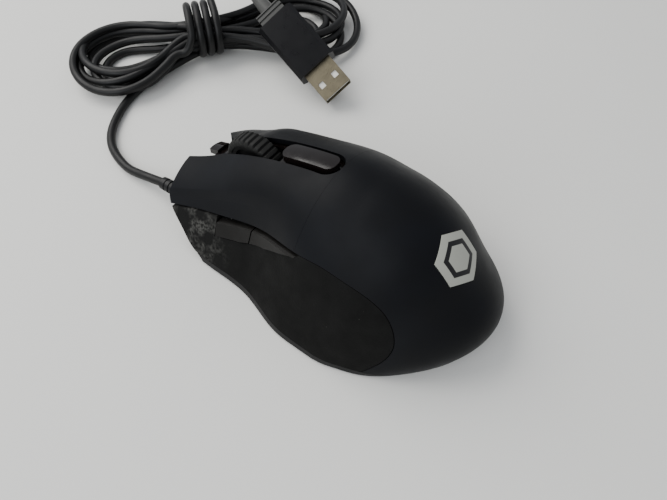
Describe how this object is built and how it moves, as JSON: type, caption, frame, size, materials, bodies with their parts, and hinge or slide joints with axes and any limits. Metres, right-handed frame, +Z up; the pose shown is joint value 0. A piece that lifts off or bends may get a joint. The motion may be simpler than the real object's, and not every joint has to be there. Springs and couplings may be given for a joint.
{
  "type": "computer mouse",
  "caption": "Compact right-handed wired computer mouse with a ribbed scroll wheel, thumb buttons, rubber grips and a thin cable tied in a loose hank.",
  "frame": {"origin": "on the standing surface, under the middle of the mouse without its cable", "axes": "+Z up, +Y towards the cable end, +X to the right of a hand on the mouse"},
  "size_m": [0.1532, 0.2065, 0.0417],
  "materials": {
    "soft_touch_shell": "matt soft-touch black, faint blue cast",
    "grip_rubber": "fine-textured black rubber, scuffed at the front",
    "base_plastic": "fine spark-eroded black",
    "gloss_trim": "polished black",
    "side_button_plastic": "satin black, slightly warm",
    "glide_foot": "smooth slippery black",
    "emblem_plastic": "pale grey translucent",
    "clear_plastic": "clear moulded",
    "screw_steel": "zinc plated",
    "circuit_board": "green solder mask",
    "component_black": "moulded black",
    "switch_plunger": "white",
    "component_white": "off-white",
    "wheel_rubber": "ribbed black rubber",
    "wheel_plastic": "satin black",
    "axle_steel": "ground",
    "cable_rubber": "smooth satin black",
    "plug_plastic": "satin black",
    "plug_steel": "nickel plated",
    "plug_insulator": "black",
    "contact_brass": "gold flashed"
  },
  "bodies": {
    "root": {"back_switch_body": "component_black", "base_tray": "base_plastic", "board_screws": "screw_steel", "cable_connector": "component_white", "cable_hank": "cable_rubber", "cable_relief": "cable_rubber", "cable_tube": "cable_rubber", "case_screws": "screw_steel", "centre_console": "gloss_trim", "controller_chip": "component_black", "dpi_board": "circuit_board", "dpi_switch_body": "component_black", "emblem_led": "component_white", "emblem_light_guide": "clear_plastic", "emblem_window": "emblem_plastic", "forward_switch_body": "component_black", "inner_cable": "cable_rubber", "left_front_glide": "glide_foot", "left_grip": "grip_rubber", "left_switch_body": "component_black", "main_board": "circuit_board", "plug_body": "plug_plastic", "plug_contacts": "contact_brass", "plug_insulator": "plug_insulator", "plug_neck": "plug_plastic", "plug_shell": "plug_steel", "rear_glide": "glide_foot", "right_front_glide": "glide_foot", "right_grip": "grip_rubber", "right_switch_body": "component_black", "sensor_chip": "component_black", "sensor_lens": "clear_plastic", "side_board": "circuit_board", "side_frame": "base_plastic", "top_shell": "soft_touch_shell", "wheel_frame": "base_plastic", "wheel_switch_body": "component_black"},
    "left_button": {"left_button": "soft_touch_shell"},
    "right_button": {"right_button": "soft_touch_shell"},
    "wheel_carriage": {"wheel_carriage": "base_plastic", "encoder_body": "component_black"},
    "wheel": {"wheel_tyre": "wheel_rubber", "wheel_hub": "wheel_plastic", "wheel_axle": "axle_steel", "encoder_rotor": "component_white"},
    "dpi_button": {"dpi_button": "gloss_trim"},
    "forward_button": {"forward_button": "side_button_plastic"},
    "back_button": {"back_button": "side_button_plastic"},
    "left_plunger": {"left_switch_plunger": "switch_plunger"},
    "right_plunger": {"right_switch_plunger": "switch_plunger"},
    "wheel_plunger": {"wheel_switch_plunger": "switch_plunger"},
    "dpi_plunger": {"dpi_switch_plunger": "switch_plunger"},
    "forward_plunger": {"forward_switch_plunger": "switch_plunger"},
    "back_plunger": {"back_switch_plunger": "switch_plunger"}
  },
  "joints": [
    {"name": "left_button_press", "type": "hinge", "parent": "root", "child": "left_button", "pos_m": [-0.012, -0.0002, 0.027], "axis": [-1, 0, 0], "range_deg": [0, 0.6], "stiffness_Nm_per_rad": 2.2},
    {"name": "right_button_press", "type": "hinge", "parent": "root", "child": "right_button", "pos_m": [0.012, -0.0002, 0.027], "axis": [-1, 0, 0], "range_deg": [0, 0.6], "stiffness_Nm_per_rad": 2.2},
    {"name": "wheel_press", "type": "slide", "parent": "root", "child": "wheel_carriage", "axis": [0, 0, -1], "range_m": [0, 0.0004], "stiffness_N_per_m": 2500},
    {"name": "wheel_spin", "type": "hinge", "parent": "wheel_carriage", "child": "wheel", "pos_m": [0, 0.0304, 0.0212], "axis": [1, 0, 0], "continuous": true},
    {"name": "dpi_press", "type": "slide", "parent": "root", "child": "dpi_button", "axis": [0, 0, -1], "range_m": [0, 0.00035], "stiffness_N_per_m": 4000},
    {"name": "forward_press", "type": "slide", "parent": "root", "child": "forward_button", "axis": [1, 0, 0], "range_m": [0, 0.0005], "stiffness_N_per_m": 1600},
    {"name": "back_press", "type": "slide", "parent": "root", "child": "back_button", "axis": [1, 0, 0], "range_m": [0, 0.0005], "stiffness_N_per_m": 1600},
    {"name": "left_switch_press", "type": "slide", "parent": "root", "child": "left_plunger", "axis": [0, 0, -1], "range_m": [0, 0.0004]},
    {"name": "right_switch_press", "type": "slide", "parent": "root", "child": "right_plunger", "axis": [0, 0, -1], "range_m": [0, 0.0004]},
    {"name": "wheel_switch_press", "type": "slide", "parent": "root", "child": "wheel_plunger", "axis": [0, 0, -1], "range_m": [0, 0.0004]},
    {"name": "dpi_switch_press", "type": "slide", "parent": "root", "child": "dpi_plunger", "axis": [0, 0, -1], "range_m": [0, 0.00035]},
    {"name": "forward_switch_press", "type": "slide", "parent": "root", "child": "forward_plunger", "axis": [1, 0, 0], "range_m": [0, 0.0005]},
    {"name": "back_switch_press", "type": "slide", "parent": "root", "child": "back_plunger", "axis": [1, 0, 0], "range_m": [0, 0.0005]}
  ],
  "couplings": [
    {"joint": "left_switch_press", "follows": "left_button_press", "m_per_rad": 0.0303},
    {"joint": "right_switch_press", "follows": "right_button_press", "m_per_rad": 0.0303},
    {"joint": "wheel_switch_press", "follows": "wheel_press", "ratio": 1},
    {"joint": "dpi_switch_press", "follows": "dpi_press", "ratio": 1},
    {"joint": "forward_switch_press", "follows": "forward_press", "ratio": 1},
    {"joint": "back_switch_press", "follows": "back_press", "ratio": 1}
  ]
}
